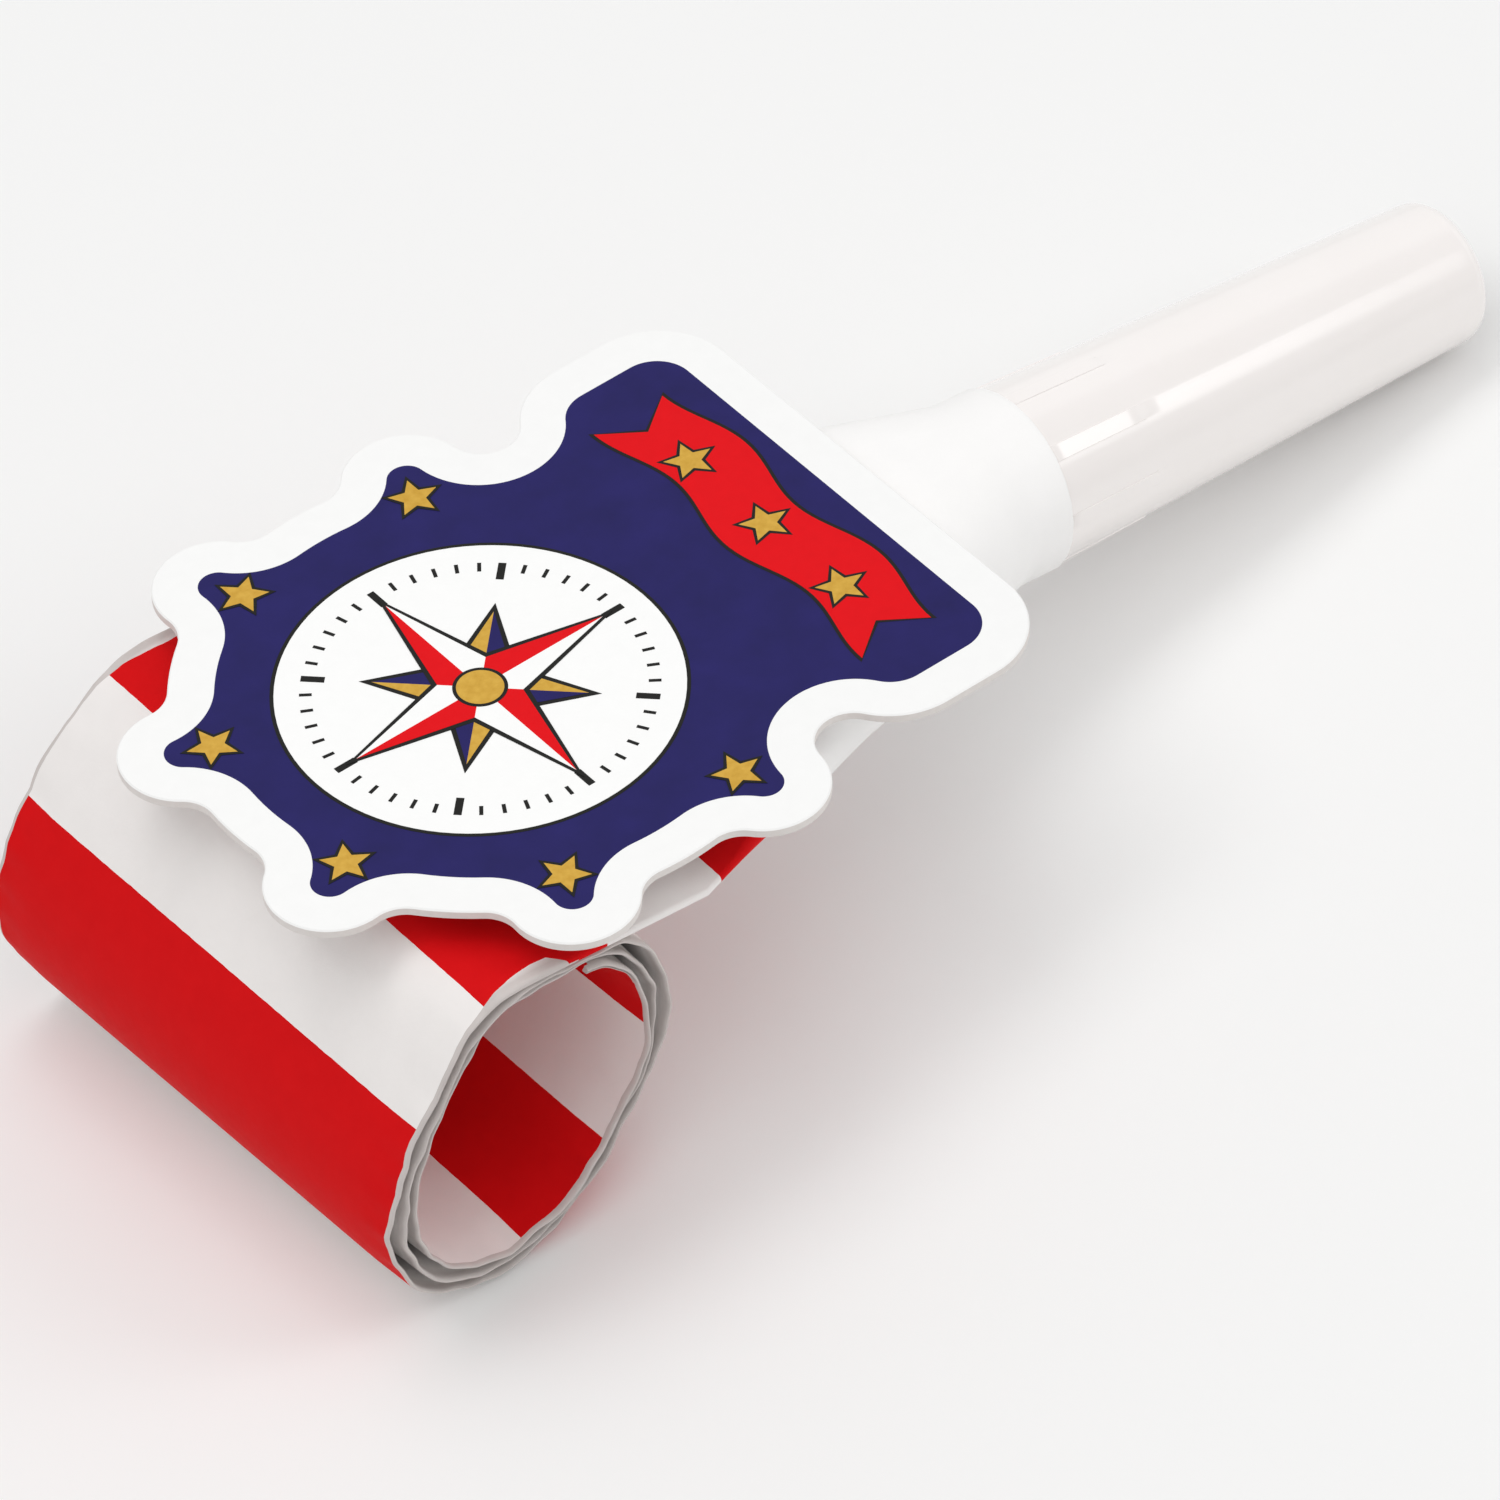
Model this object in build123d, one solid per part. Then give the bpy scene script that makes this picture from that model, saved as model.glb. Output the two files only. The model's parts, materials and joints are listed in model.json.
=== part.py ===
from build123d import *
import math
import os
from collections import namedtuple

# A party horn blower: a moulded mouthpiece with a reed, a paper neck that flattens into a paper
# tube, the tube rolled up on two recoil strips, and a die-cut card on top.
# Horn frame: X runs forward along the mouthpiece's axis from the mouth end, Z is up, Y is across.
# Millimetres throughout.

# Mouthpiece
EXPOSED = 46.5            # mouth end to the edge of the paper collar
INSERT = 10.0             # length pushed into the paper
MOUTH_RADIUS = 6.2        # outside, at the mouth end
SEAT_RADIUS = 7.8         # outside, under the paper
MOULD_WALL = 1.0
BORE_RADIUS = 4.2         # straight bore behind the lip
BORE_LENGTH = 6.0
BORE_RUNOUT = 3.0         # short cone from the bore to the tapered inside
LIP_ROUND = 1.4
LIP_INNER_ROUND = 0.5

# Ribs inside the mouthpiece that grip the reed plug
RIB_COUNT = 8
RIB_WIDTH = 1.4
RIB_HEIGHT = 0.5
RIB_TURN = 5.0            # degrees from the top to the first rib
RIB_SHOW = 9.5            # how far they reach out past the paper collar
RIB_LEAD = 1.0            # straight wall ahead of the ribs

# Reed unit
FLANGE_LENGTH = 2.0
PLUG_BODY_LENGTH = 7.0
SHALLOT_LENGTH = 11.0     # half-round trough that the reed beats on
SHALLOT_RADIUS = 3.4
SHALLOT_TOP = 1.0         # height of its flat face above the axis, at the root
SHALLOT_DROP = 0.45       # how much lower the flat face lies at the tip
SHALLOT_CAP = 1.5         # closed end of the trough
AIRWAY_WIDTH = 3.0
AIRWAY_DEPTH = 2.6
REED_WIDTH = 4.2
REED_THICK = 0.15
REED_TAIL = 1.2           # behind the pinch line
REED_OVERHANG = 0.4       # the tip stops short of the trough's end by this much
PINCH_SETBACK = 1.2       # from the plug's face to the pinch line
PINCH_RADIUS = 0.5
CLAMP_LENGTH = 4.0
CLAMP_HEIGHT = 1.8
CLAMP_SIDE_ROOM = 0.3     # the slot is wider than the reed by this much on each side

# Paper neck: round on the mouthpiece, flat where the tube begins
COLLAR_LENGTH = 4.0
NECK_WALL = 0.2           # two wraps of paper
NECK_LENGTH = 51.0
NECK_STEPS = 5            # sections between the mouthpiece's end and the flat tube
ROUND_START = 0.3         # width over height where the flattening starts

# Rolled paper tube
TUBE_WIDTH = 50.0
TUBE_THICK = 0.7
PAPER = 0.15
FLAT_RUN = 16.5           # flat tube between the neck and the roll
ROLL_RADIUS = 15.6        # outside of the roll where it starts
TURN_PITCH = 1.15         # each turn lies this much inside the one before
SPAN_TURN = 66.0          # degrees of roll in one span
SPAN_COUNT = 16
SPAN_GAP = 0.12           # crease between two spans
GAP_STEP = 3.0            # degrees between the points that the gap between turns is measured on
TIP_WALL = 0.3
TIP_TAB_TURN = 24.0       # degrees of roll under the glued end tab

# Recoil strips inside the tube
STRIP_WIDTH = 3.0
STRIP_THICK = 0.15
STRIP_SPREAD = 26.0       # between the two strips' middles
STRIP_ROOT = 14.0         # glued length in the flat run
STRIP_TIP_ROOM = 0.6

# Card on top
CARD_THICK = 0.9
CARD_REAR = 15.5          # rear edge, ahead of the collar's edge
CARD_REAR_GAP = 0.6       # between the neck and the card at that edge
CARD_TILT = 5.6           # degrees, front edge down
DISC_FORWARD = 38.0       # rear edge to the middle of the lobed disc
DISC_RADIUS = 25.2
LOBE_COUNT = 8
LOBE_RADIUS = 5.3
LOBE_CENTRE = 24.6        # from the middle of the disc to the middle of a lobe
FOOT_WIDTH = 50.0
FOOT_DEPTH = 19.0
FOOT_CORNER = 7.0
CARD_CORNER = 3.0         # radius in the outline's inner corners

# Foam pads that carry the card
PAD_LENGTH = 9.0
PAD_WIDTH = 16.0
PAD_STARTS = (17.5, 35.0)  # ahead of the collar's edge
PAD_CORNER = 1.0

# Values that follow
MOUTHPIECE_LENGTH = EXPOSED + INSERT
PLUG_SEAT_RADIUS = SEAT_RADIUS - MOULD_WALL
PLUG_BODY_RADIUS = PLUG_SEAT_RADIUS - RIB_HEIGHT
RIB_START = EXPOSED - RIB_SHOW
RIB_END = MOUTHPIECE_LENGTH - FLANGE_LENGTH
PLUG_FACE = RIB_END - PLUG_BODY_LENGTH
SHALLOT_TIP = PLUG_FACE - SHALLOT_LENGTH
PINCH_X = PLUG_FACE + PINCH_SETBACK
PINCH_Z = SHALLOT_TOP + PINCH_RADIUS + REED_THICK / 2
COLLAR_RADIUS = SEAT_RADIUS + NECK_WALL
FLAT_START = EXPOSED + NECK_LENGTH
ROLL_X = FLAT_START + FLAT_RUN
TUBE_TOP = TUBE_THICK / 2
ROLL_TURN = SPAN_COUNT * SPAN_TURN
SPAN_SHRINK = TURN_PITCH * SPAN_TURN / 360
STRIP_BOTTOM = TUBE_THICK - NECK_WALL          # depth below the tube's outer face
STRIP_TOP = STRIP_BOTTOM - STRIP_THICK

Span = namedtuple("Span", "x z radius start end")


def across(x):
    """Plane across the horn at x, with its own x along Y and its own y along Z."""
    return Plane(origin=(x, 0, 0), x_dir=(0, 1, 0), z_dir=(1, 0, 0))


def rod(radius, start, end):
    """Round bar on the horn's axis."""
    return extrude(across(start) * Circle(radius), end - start)


def block(low, high):
    """Box between two opposite corners."""
    size = [b - a for a, b in zip(low, high)]
    return Pos(*low) * Box(*size, align=(Align.MIN, Align.MIN, Align.MIN))


def mouthpiece():
    """Tapered tube with a rounded lip, a straight bore at the mouth and ribs at the far end."""
    taper = (SEAT_RADIUS - MOUTH_RADIUS) / EXPOSED
    runout = BORE_LENGTH + BORE_RUNOUT
    lip_in = Vector(0, BORE_RADIUS)
    lip_out = Vector(0, MOUTH_RADIUS)
    outline = Polyline(
        lip_in,
        lip_out,
        (EXPOSED, SEAT_RADIUS),
        (MOUTHPIECE_LENGTH, SEAT_RADIUS),
        (MOUTHPIECE_LENGTH, PLUG_SEAT_RADIUS),
        (RIB_START - RIB_LEAD, PLUG_SEAT_RADIUS),
        (runout, MOUTH_RADIUS + taper * runout - MOULD_WALL),
        (BORE_LENGTH, BORE_RADIUS),
        close=True,
    )
    profile = make_face(outline)
    profile = fillet(profile.vertices().sort_by_distance(lip_out)[0], LIP_ROUND)
    profile = fillet(profile.vertices().sort_by_distance(lip_in)[0], LIP_INNER_ROUND)
    shell = revolve(Plane.XZ * profile, Axis.X)
    rib = block(
        (RIB_START, -RIB_WIDTH / 2, PLUG_BODY_RADIUS),
        (RIB_END, RIB_WIDTH / 2, PLUG_SEAT_RADIUS + MOULD_WALL / 2),
    )
    return shell + [Rot(RIB_TURN + i * 360 / RIB_COUNT, 0, 0) * rib for i in range(RIB_COUNT)]


def pinch_bar(z, width):
    """Half-round bar across the horn that holds the reed along one line."""
    return Pos(PINCH_X, 0, z) * Rot(90, 0, 0) * Cylinder(PINCH_RADIUS, width)


def clamp_width():
    return REED_WIDTH + 2 * CLAMP_SIDE_ROOM


def clamp_bottom():
    """Underside of the clamp block, level with the middle of its pinch bar."""
    return PINCH_Z + REED_THICK / 2 + PINCH_RADIUS


def reed_plug():
    """Flange, ribbed-in body and half-round trough with an airway right through to the paper."""
    body = rod(PLUG_SEAT_RADIUS, RIB_END, MOUTHPIECE_LENGTH)
    body += rod(PLUG_BODY_RADIUS, PLUG_FACE, RIB_END)
    trough = rod(SHALLOT_RADIUS, SHALLOT_TIP, PLUG_FACE)
    face = make_face(Polyline(
        (SHALLOT_TIP, SHALLOT_TOP - SHALLOT_DROP),
        (PLUG_FACE, SHALLOT_TOP),
        (PLUG_FACE, SHALLOT_RADIUS),
        (SHALLOT_TIP, SHALLOT_RADIUS),
        close=True,
    ))
    trough -= extrude(Plane.XZ * face, SHALLOT_RADIUS, both=True)
    airway = block(
        (SHALLOT_TIP + SHALLOT_CAP, -AIRWAY_WIDTH / 2, SHALLOT_TOP - AIRWAY_DEPTH),
        (MOUTHPIECE_LENGTH, AIRWAY_WIDTH / 2, SHALLOT_TOP),
    )
    half_slot = clamp_width() / 2
    slot = block(
        (PLUG_FACE, -half_slot, SHALLOT_TOP),
        (PLUG_FACE + CLAMP_LENGTH, half_slot, clamp_bottom() + CLAMP_HEIGHT),
    )
    lower_bar = pinch_bar(SHALLOT_TOP, clamp_width())
    return body + trough - slot - airway + (lower_bar - airway)


def reed_clamp():
    """Block pressed into the plug's slot, with a bar that pinches the reed."""
    half = clamp_width() / 2
    bottom = clamp_bottom()
    top = bottom + CLAMP_HEIGHT
    wedge = block((PLUG_FACE, -half, bottom), (PLUG_FACE + CLAMP_LENGTH, half, top))
    return wedge + pinch_bar(bottom, clamp_width())


def reed_tongue():
    """Thin plastic tongue over the trough."""
    low = (SHALLOT_TIP + REED_OVERHANG, -REED_WIDTH / 2, PINCH_Z - REED_THICK / 2)
    high = (PINCH_X + REED_TAIL, REED_WIDTH / 2, PINCH_Z + REED_THICK / 2)
    return block(low, high)


def flat_round(x, width, height):
    """Flattened round section across the horn: straight top and bottom, round sides."""
    end = height / 2
    side = width / 2 - end
    diagonal = end * math.sqrt(0.5)
    corners = [(side, end), (side + end, 0), (side, -end), (-side, -end), (-side - end, 0), (-side, end)]
    edges = [
        ThreePointArc(corners[0], (side + diagonal, diagonal), corners[1]),
        ThreePointArc(corners[1], (side + diagonal, -diagonal), corners[2]),
        Line(corners[2], corners[3]),
        ThreePointArc(corners[3], (-side - diagonal, -diagonal), corners[4]),
        ThreePointArc(corners[4], (-side - diagonal, diagonal), corners[5]),
        Line(corners[5], corners[0]),
    ]
    return across(x) * make_face(edges)


def neck_size(along):
    """Outside width and height of the neck at a distance ahead of the collar's edge."""
    flare = max(0.0, (along - COLLAR_LENGTH) / (NECK_LENGTH - COLLAR_LENGTH))
    width = 2 * COLLAR_RADIUS + ROUND_START + (TUBE_WIDTH - 2 * COLLAR_RADIUS - ROUND_START) * flare
    press = max(0.0, (along - INSERT) / (NECK_LENGTH - INSERT))
    ease = press * press * (3 - 2 * press)
    height = 2 * COLLAR_RADIUS + (TUBE_THICK - 2 * COLLAR_RADIUS) * ease
    return width, height


def neck_section(along, wall):
    """Section of the neck at a distance ahead of the collar's edge, taken in by a wall all round."""
    width, height = neck_size(along)
    return flat_round(EXPOSED + along, width - 2 * wall, height - 2 * wall)


def neck_solid(wall, overrun=0):
    """Collar, neck and flat run as a solid, taken in by a wall all round and longer at both ends."""
    step = (NECK_LENGTH - INSERT) / NECK_STEPS
    places = [COLLAR_LENGTH] + [INSERT + step * i for i in range(NECK_STEPS + 1)]
    flare = loft([neck_section(along, wall) for along in places])
    collar = extrude(neck_section(COLLAR_LENGTH, wall), COLLAR_LENGTH + overrun, dir=(-1, 0, 0))
    flat = extrude(neck_section(NECK_LENGTH, wall), FLAT_RUN - SPAN_GAP / 2 + overrun, dir=(1, 0, 0))
    return collar + flare + flat


def paper_neck():
    """Paper that is round on the mouthpiece and flat where the roll starts."""
    return neck_solid(0) - neck_solid(NECK_WALL, overrun=1)


def roll_spans():
    """Arcs of the roll's outer face. Each runs on smoothly from the one before, a little tighter."""
    spans = []
    x, z, radius = ROLL_X, TUBE_TOP - ROLL_RADIUS, ROLL_RADIUS
    for i in range(SPAN_COUNT):
        start, end = i * SPAN_TURN, (i + 1) * SPAN_TURN
        spans.append(Span(x, z, radius, start, end))
        x += SPAN_SHRINK * math.sin(math.radians(end))
        z += SPAN_SHRINK * math.cos(math.radians(end))
        radius -= SPAN_SHRINK
    return spans


def on_span(span, depth, turn):
    """Point at a depth below a span's outer face, at a turn counted from the top of the roll."""
    reach = span.radius - depth
    angle = math.radians(turn)
    return Vector(span.x + reach * math.sin(angle), 0, span.z + reach * math.cos(angle))


def span_arc(span, depth, start, end):
    middle = (start + end) / 2
    return ThreePointArc(*[on_span(span, depth, turn) for turn in (start, middle, end)])


def span_block(span, depths, turns, width):
    """Curved slab of a span between two depths and two turns."""
    top, bottom = depths
    start, end = turns
    edges = [
        span_arc(span, top, start, end),
        Line(on_span(span, top, end), on_span(span, bottom, end)),
        span_arc(span, bottom, end, start),
        Line(on_span(span, bottom, start), on_span(span, top, start)),
    ]
    return extrude(make_face(edges), width / 2, dir=(0, 1, 0), both=True)


def crease_turn(span):
    """Half of the crease between two spans, as a turn."""
    return math.degrees(SPAN_GAP / 2 / span.radius)


def tube_span(span):
    """Hollow flattened tube, creased along both sides."""
    start, end = span.start + crease_turn(span), span.end - crease_turn(span)
    outside = span_block(span, (0, TUBE_THICK), (start, end), TUBE_WIDTH)
    inside = span_block(span, (PAPER, TUBE_THICK - PAPER), (start - 1, end + 1), TUBE_WIDTH - 2 * PAPER)
    return outside - inside


def tip_fold(span):
    """End of the tube, folded over on the inside and glued down."""
    start = span.end - crease_turn(span)
    end = start + math.degrees(TIP_WALL / span.radius)
    wall = span_block(span, (0, TUBE_THICK + PAPER), (start, end), TUBE_WIDTH)
    tab = span_block(span, (TUBE_THICK, TUBE_THICK + PAPER), (end - TIP_TAB_TURN, end), TUBE_WIDTH)
    return wall + tab


def recoil_strip(spans, y):
    """Curled springy strip inside the tube, from the flat run to the tip."""
    root = ROLL_X - STRIP_ROOT
    last_turn = ROLL_TURN - math.degrees(STRIP_TIP_ROOM / spans[-1].radius)
    turns = [(span, span.start, min(span.end, last_turn)) for span in spans]
    outer = [span_arc(span, STRIP_TOP, start, end) for span, start, end in turns]
    inner = [span_arc(span, STRIP_BOTTOM, end, start) for span, start, end in reversed(turns)]
    root_top = Vector(root, 0, TUBE_TOP - STRIP_TOP)
    root_bottom = Vector(root, 0, TUBE_TOP - STRIP_BOTTOM)
    run = [Line(root_bottom, root_top), Line(root_top, outer[0] @ 0)]
    tip = [Line(outer[-1] @ 1, inner[0] @ 0)]
    back = [Line(inner[-1] @ 1, root_bottom)]
    band = make_face(run + outer + tip + inner + back)
    return Pos(0, y, 0) * extrude(band, STRIP_WIDTH / 2, dir=(0, 1, 0), both=True)


def face_points(spans, depth):
    """Points along the whole roll at a depth below its outer face, each with its turn."""
    steps = round(SPAN_TURN / GAP_STEP)
    turns = [(span, span.start + SPAN_TURN * i / steps) for span in spans for i in range(steps)]
    return [(turn, on_span(span, depth, turn)) for span, turn in turns]


def least_turn_gap(spans):
    """Least gap between one turn of the roll and the next, measured on points."""
    outer, inner = face_points(spans, 0), face_points(spans, TUBE_THICK)
    return min((a - b).length for turn, a in inner for later, b in outer if later > turn + 180)


def card_plane():
    """Underside of the card, with its own x forward from the rear edge."""
    rear_height = neck_size(CARD_REAR)[1] / 2 + CARD_REAR_GAP
    rear = Plane(origin=(EXPOSED + CARD_REAR, 0, rear_height))
    return rear.rotated((0, CARD_TILT, 0))


def card_outline():
    """Lobed disc with a wide foot behind it, drawn from the rear edge forward."""
    lobes = PolarLocations(LOBE_CENTRE, LOBE_COUNT, start_angle=180 / LOBE_COUNT) * Circle(LOBE_RADIUS)
    disc = Pos(DISC_FORWARD, 0) * (Circle(DISC_RADIUS) + lobes)
    foot = Pos(FOOT_DEPTH / 2, 0) * RectangleRounded(FOOT_DEPTH, FOOT_WIDTH, FOOT_CORNER)
    grown = offset(disc + foot, CARD_CORNER)
    return offset(grown, -CARD_CORNER)


def card_topper():
    """Thick die-cut card."""
    return extrude(card_plane() * card_outline(), CARD_THICK)


def foam_pad(start):
    """Foam pad from the neck's top up to the card, cut to the neck's slope."""
    card = card_plane()
    along = EXPOSED + start
    outline = Pos(along + PAD_LENGTH / 2, 0) * RectangleRounded(PAD_LENGTH, PAD_WIDTH, PAD_CORNER)
    pillar = extrude(outline, 2 * COLLAR_RADIUS)
    under_card = split(pillar, card, keep=Keep.BOTTOM)
    return under_card - neck_solid(0)


def rest_tilt(spans):
    """Angle that the horn leans back at when its roll and its lip lie on a table."""
    lip_x, lip_z = LIP_ROUND, LIP_ROUND - MOUTH_RADIUS
    tilt = 0.0
    for _ in range(4):
        bottom = spans[int((180 + tilt) // SPAN_TURN)]
        rise, run = bottom.z - lip_z, bottom.x - lip_x
        drop = (bottom.radius - LIP_ROUND) / math.hypot(rise, run)
        tilt = math.degrees(math.asin(drop) - math.atan2(rise, run))
    return tilt


def horn_pieces():
    """Every piece by name, in the horn's own frame."""
    spans = roll_spans()
    pieces = {
        "mouthpiece": mouthpiece(),
        "reed_plug": reed_plug(),
        "reed_clamp": reed_clamp(),
        "reed_tongue": reed_tongue(),
        "paper_neck": paper_neck(),
        "card_topper": card_topper(),
        "foam_pad_rear": foam_pad(PAD_STARTS[0]),
        "foam_pad_front": foam_pad(PAD_STARTS[1]),
        "recoil_strip_left": recoil_strip(spans, STRIP_SPREAD / 2),
        "recoil_strip_right": recoil_strip(spans, -STRIP_SPREAD / 2),
        "tip_fold": tip_fold(spans[-1]),
    }
    for i, span in enumerate(spans, start=1):
        pieces[f"tube_span_{i:02d}"] = tube_span(span)
    return pieces


def table_place(pieces):
    """Move from the horn frame to the table: leaning back, lowest points at z = 0, centred."""
    lean = Rot(0, -rest_tilt(roll_spans()), 0)
    box = Compound(children=[lean * piece for piece in pieces.values()]).bounding_box()
    middle = box.center()
    return Pos(-middle.X, -middle.Y, -box.min.Z) * lean


def main():
    os.makedirs("parts", exist_ok=True)
    pieces = horn_pieces()
    place = table_place(pieces)
    for name, piece in pieces.items():
        export_step(place * piece, f"parts/{name}.step")
    print(f"least gap between turns {least_turn_gap(roll_spans()):.3f} mm")
    print(f"rest tilt {rest_tilt(roll_spans()):.2f} degrees")


main()
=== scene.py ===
import json
import math
from collections import namedtuple

import bpy
import numpy as np
from mathutils import Matrix, Vector


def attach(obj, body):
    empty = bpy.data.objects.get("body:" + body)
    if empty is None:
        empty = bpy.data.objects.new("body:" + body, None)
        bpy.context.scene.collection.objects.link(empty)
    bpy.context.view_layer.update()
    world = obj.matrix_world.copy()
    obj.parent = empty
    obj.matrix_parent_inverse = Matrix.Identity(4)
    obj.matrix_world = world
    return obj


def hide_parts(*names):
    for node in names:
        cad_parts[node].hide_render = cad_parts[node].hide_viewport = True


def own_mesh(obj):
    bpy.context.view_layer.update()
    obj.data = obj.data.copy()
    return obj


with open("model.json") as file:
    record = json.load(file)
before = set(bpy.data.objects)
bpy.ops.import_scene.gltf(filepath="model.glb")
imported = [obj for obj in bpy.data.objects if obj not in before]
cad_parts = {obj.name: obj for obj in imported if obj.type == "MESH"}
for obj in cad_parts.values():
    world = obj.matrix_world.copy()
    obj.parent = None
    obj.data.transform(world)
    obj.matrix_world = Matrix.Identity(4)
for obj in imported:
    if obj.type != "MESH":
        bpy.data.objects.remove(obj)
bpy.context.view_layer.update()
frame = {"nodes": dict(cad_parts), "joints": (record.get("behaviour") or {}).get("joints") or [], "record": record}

# A party horn blower. Lengths are millimetres in the horn's own frame: X runs forward along the
# mouthpiece's axis from the mouth end, Y is across, Z is up. HORN turns them into the row frame.
MM = 0.001

# Mouthpiece
EXPOSED = 46.5  # mouth end to the edge of the paper collar
INSERT = 10.0  # length pushed into the paper
MOUTH_RADIUS = 6.2
SEAT_RADIUS = 7.8
MOULD_WALL = 1.0
MOULD_EDGE = 0.1  # length over which a rib rises
BORE_RADIUS = 4.2
BORE_LENGTH = 6.0
BORE_RUNOUT = 3.0
LIP_ROUND = 1.4
LIP_INNER_ROUND = 0.5
RIB_COUNT = 8
RIB_WIDTH = 1.4
RIB_HEIGHT = 0.5
RIB_SHOW = 9.5  # how far the ribs reach out past the paper collar
RIB_TURN = -5.0  # degrees from the top to the first rib
RIB_MARK = 0.08  # how far the moulding stands out over a rib
RIB_TOP = 0.94  # share of a rib's width that is its top
RIB_TOP_POINTS = 6
RIB_LEAD = 1.0
FLANGE_LENGTH = 2.0

# Paper neck
COLLAR_LENGTH = 4.0
NECK_WALL = 0.2
NECK_EDGE = 0.15  # length over which its cut edge is rounded
NECK_EDGE_IN = 0.06  # and how far
NECK_LENGTH = 51.0
NECK_STEPS = 70
ROUND_START = 0.3  # the collar is this much wider than high
FLAT_RUN = 16.5  # flat tube between the neck and the roll
FLAT_STEPS = 12
DENT = 0.3  # depth of the shallow dents in the neck

# Rolled tube
TUBE_WIDTH = 50.0
TUBE_THICK = 0.7
PAPER = 0.15
ROLL_RADIUS = 15.6
TURN_PITCH = 1.15  # each turn lies this much inside the one before
SPAN_TURN = 66.0  # degrees of roll in one span
SPAN_COUNT = sum(joint["name"].startswith("unroll") for joint in frame["joints"])
SPAN_STEPS = 45

# Pressed shape of the roll
OVAL = 2.5  # how far it is drawn out along its longer axis
OVAL_FALL = 0.22  # and how much less at each turn further in
OVAL_AXIS = 151.0  # degrees from the top to the longer axis
OVAL_LEAN = 0.8  # how far the roll is pushed over
OVAL_LEAN_TURN = -15.0  # and which way, in degrees from the top
OVAL_MEAN = -0.6  # how far it is tighter all round
OVAL_START = 50.0  # degrees of the roll over which it grows oval
ROLL_SKEW = 1.9  # how much further forward the roll lies at its right end
TURN_GAP = 0.15  # least air between two turns at the top
TOP_SHARE = 0.3  # turns lie on each other where the paper faces up more than this
TOP_SOFT = 0.1  # rounds the change to that, in square millimetres

# Tube's end
TIP_TAB_TURN = 24.0  # degrees of roll under the glued end tab
TIP_TAB_STEPS = 20
TIP_WALL = 0.3
TIP_TUCK = 0.6  # the end is pressed out against the turn round it
TIP_TAPER = 0.3  # and grows narrower by this at each side
TIP_RUN = 35.0  # over this many degrees

# Sleeves that close the tube at its joints
SLEEVE_SPARE = 1.0  # reach past the middle of the gap in the flat tube
SLEEVE_SLOPE = 1.3  # rolled length for each flat millimetre
SLEEVE_WALL = 0.17
SLEEVE_SHEET = 0.03
SLEEVE_INSET = 0.8
SLEEVE_STEPS = 8

# Folded edges of the tube
FOLD_HALF = 0.18  # half the tube's thickness there
FOLD_TAPER = 4.5  # it grows to the full thickness over this width
CRUMPLE_START = 8.0  # first length of the roll, over which they grow thin and crumple
WANDER_DEPTH = 9.0  # how far in from the edge the paper wanders sideways
PLEAT_DEPTH = 5.0  # and how far in the pleats run
EDGE_SWAY = 0.45  # slow wander of the edge
EDGE_NICK = 0.14
EDGE_SMALL_NICK = 0.05
EDGE_INSET = 0.4
PLEAT = 0.12
PLEAT_SWELL = 0.06  # pleats grow and fade by this much
SMALL_PLEAT = 0.07

# Print on the tube, as stripes counted up to each length from the roll's start
PRINT_LENGTHS = (-100.0, -30.0, 17.0, 38.0, 205.0, 219.9, 241.2, 264.0)
PRINT_STRIPES = (-6.0, 0.0, 4.0, 5.0, 19.0, 20.0, 22.0, 24.0)
STRIPE_WOBBLE = 0.004  # unevenness of a stripe's edge, as a share of a stripe
PRINT_RAGGED = 0.2  # and of the print's side edges
NO_MARGIN = -1.0  # the print runs over the edge
FIRST_MARGIN = 1.5  # bare paper along the folded edge where the roll starts
OUTER_MARGIN = 0.4  # and further along the first turn, on the outer side
INNER_MARGIN = 6.0  # between the turns
LAST_MARGIN = 0.5  # and on the inner side of the last turn
MARGIN_START, MARGIN_RUN = -4.0, 3.0
NARROW_START, NARROW_RUN = -1.0, 9.0
HIDDEN_START, HIDDEN_RUN = 58.0, 30.0  # the outer side goes in between the turns
LAST_RUN = 5.0
EDGE_SHADE_WIDTH = 1.6  # painted shade: paper is greyer this far in from a folded edge

# Recoil strips
STRIP_WIDTH = 3.0
STRIP_THICK = 0.15
STRIP_SPREAD = 26.0  # between the two strips' middles
STRIP_ROOT = 14.0  # glued length in the flat run
STRIP_TIP_TURN = 2.0  # degrees that a strip stops short of the tube's end
STRIP_STEPS = 24
STRIP_ROOT_STEPS = 8

# Card
CARD_THICK = 0.9
CARD_REAR = 15.5  # rear edge, ahead of the collar's edge
CARD_REAR_GAP = 0.6
CARD_TILT = 5.6  # degrees, front edge down
DISC_FORWARD = 38.0
DISC_RADIUS = 25.2
LOBE_COUNT = 8
LOBE_RADIUS = 5.3
LOBE_CENTRE = 24.6
FOOT_WIDTH = 50.0
FOOT_DEPTH = 19.0
FOOT_CORNER = 7.0
CARD_CORNER = 3.0  # radius in the outline's inner corners
CARD_EDGE_ROUND = 0.12
OUTLINE_STEP = 2.0  # degrees between points on the outline's arcs

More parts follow.
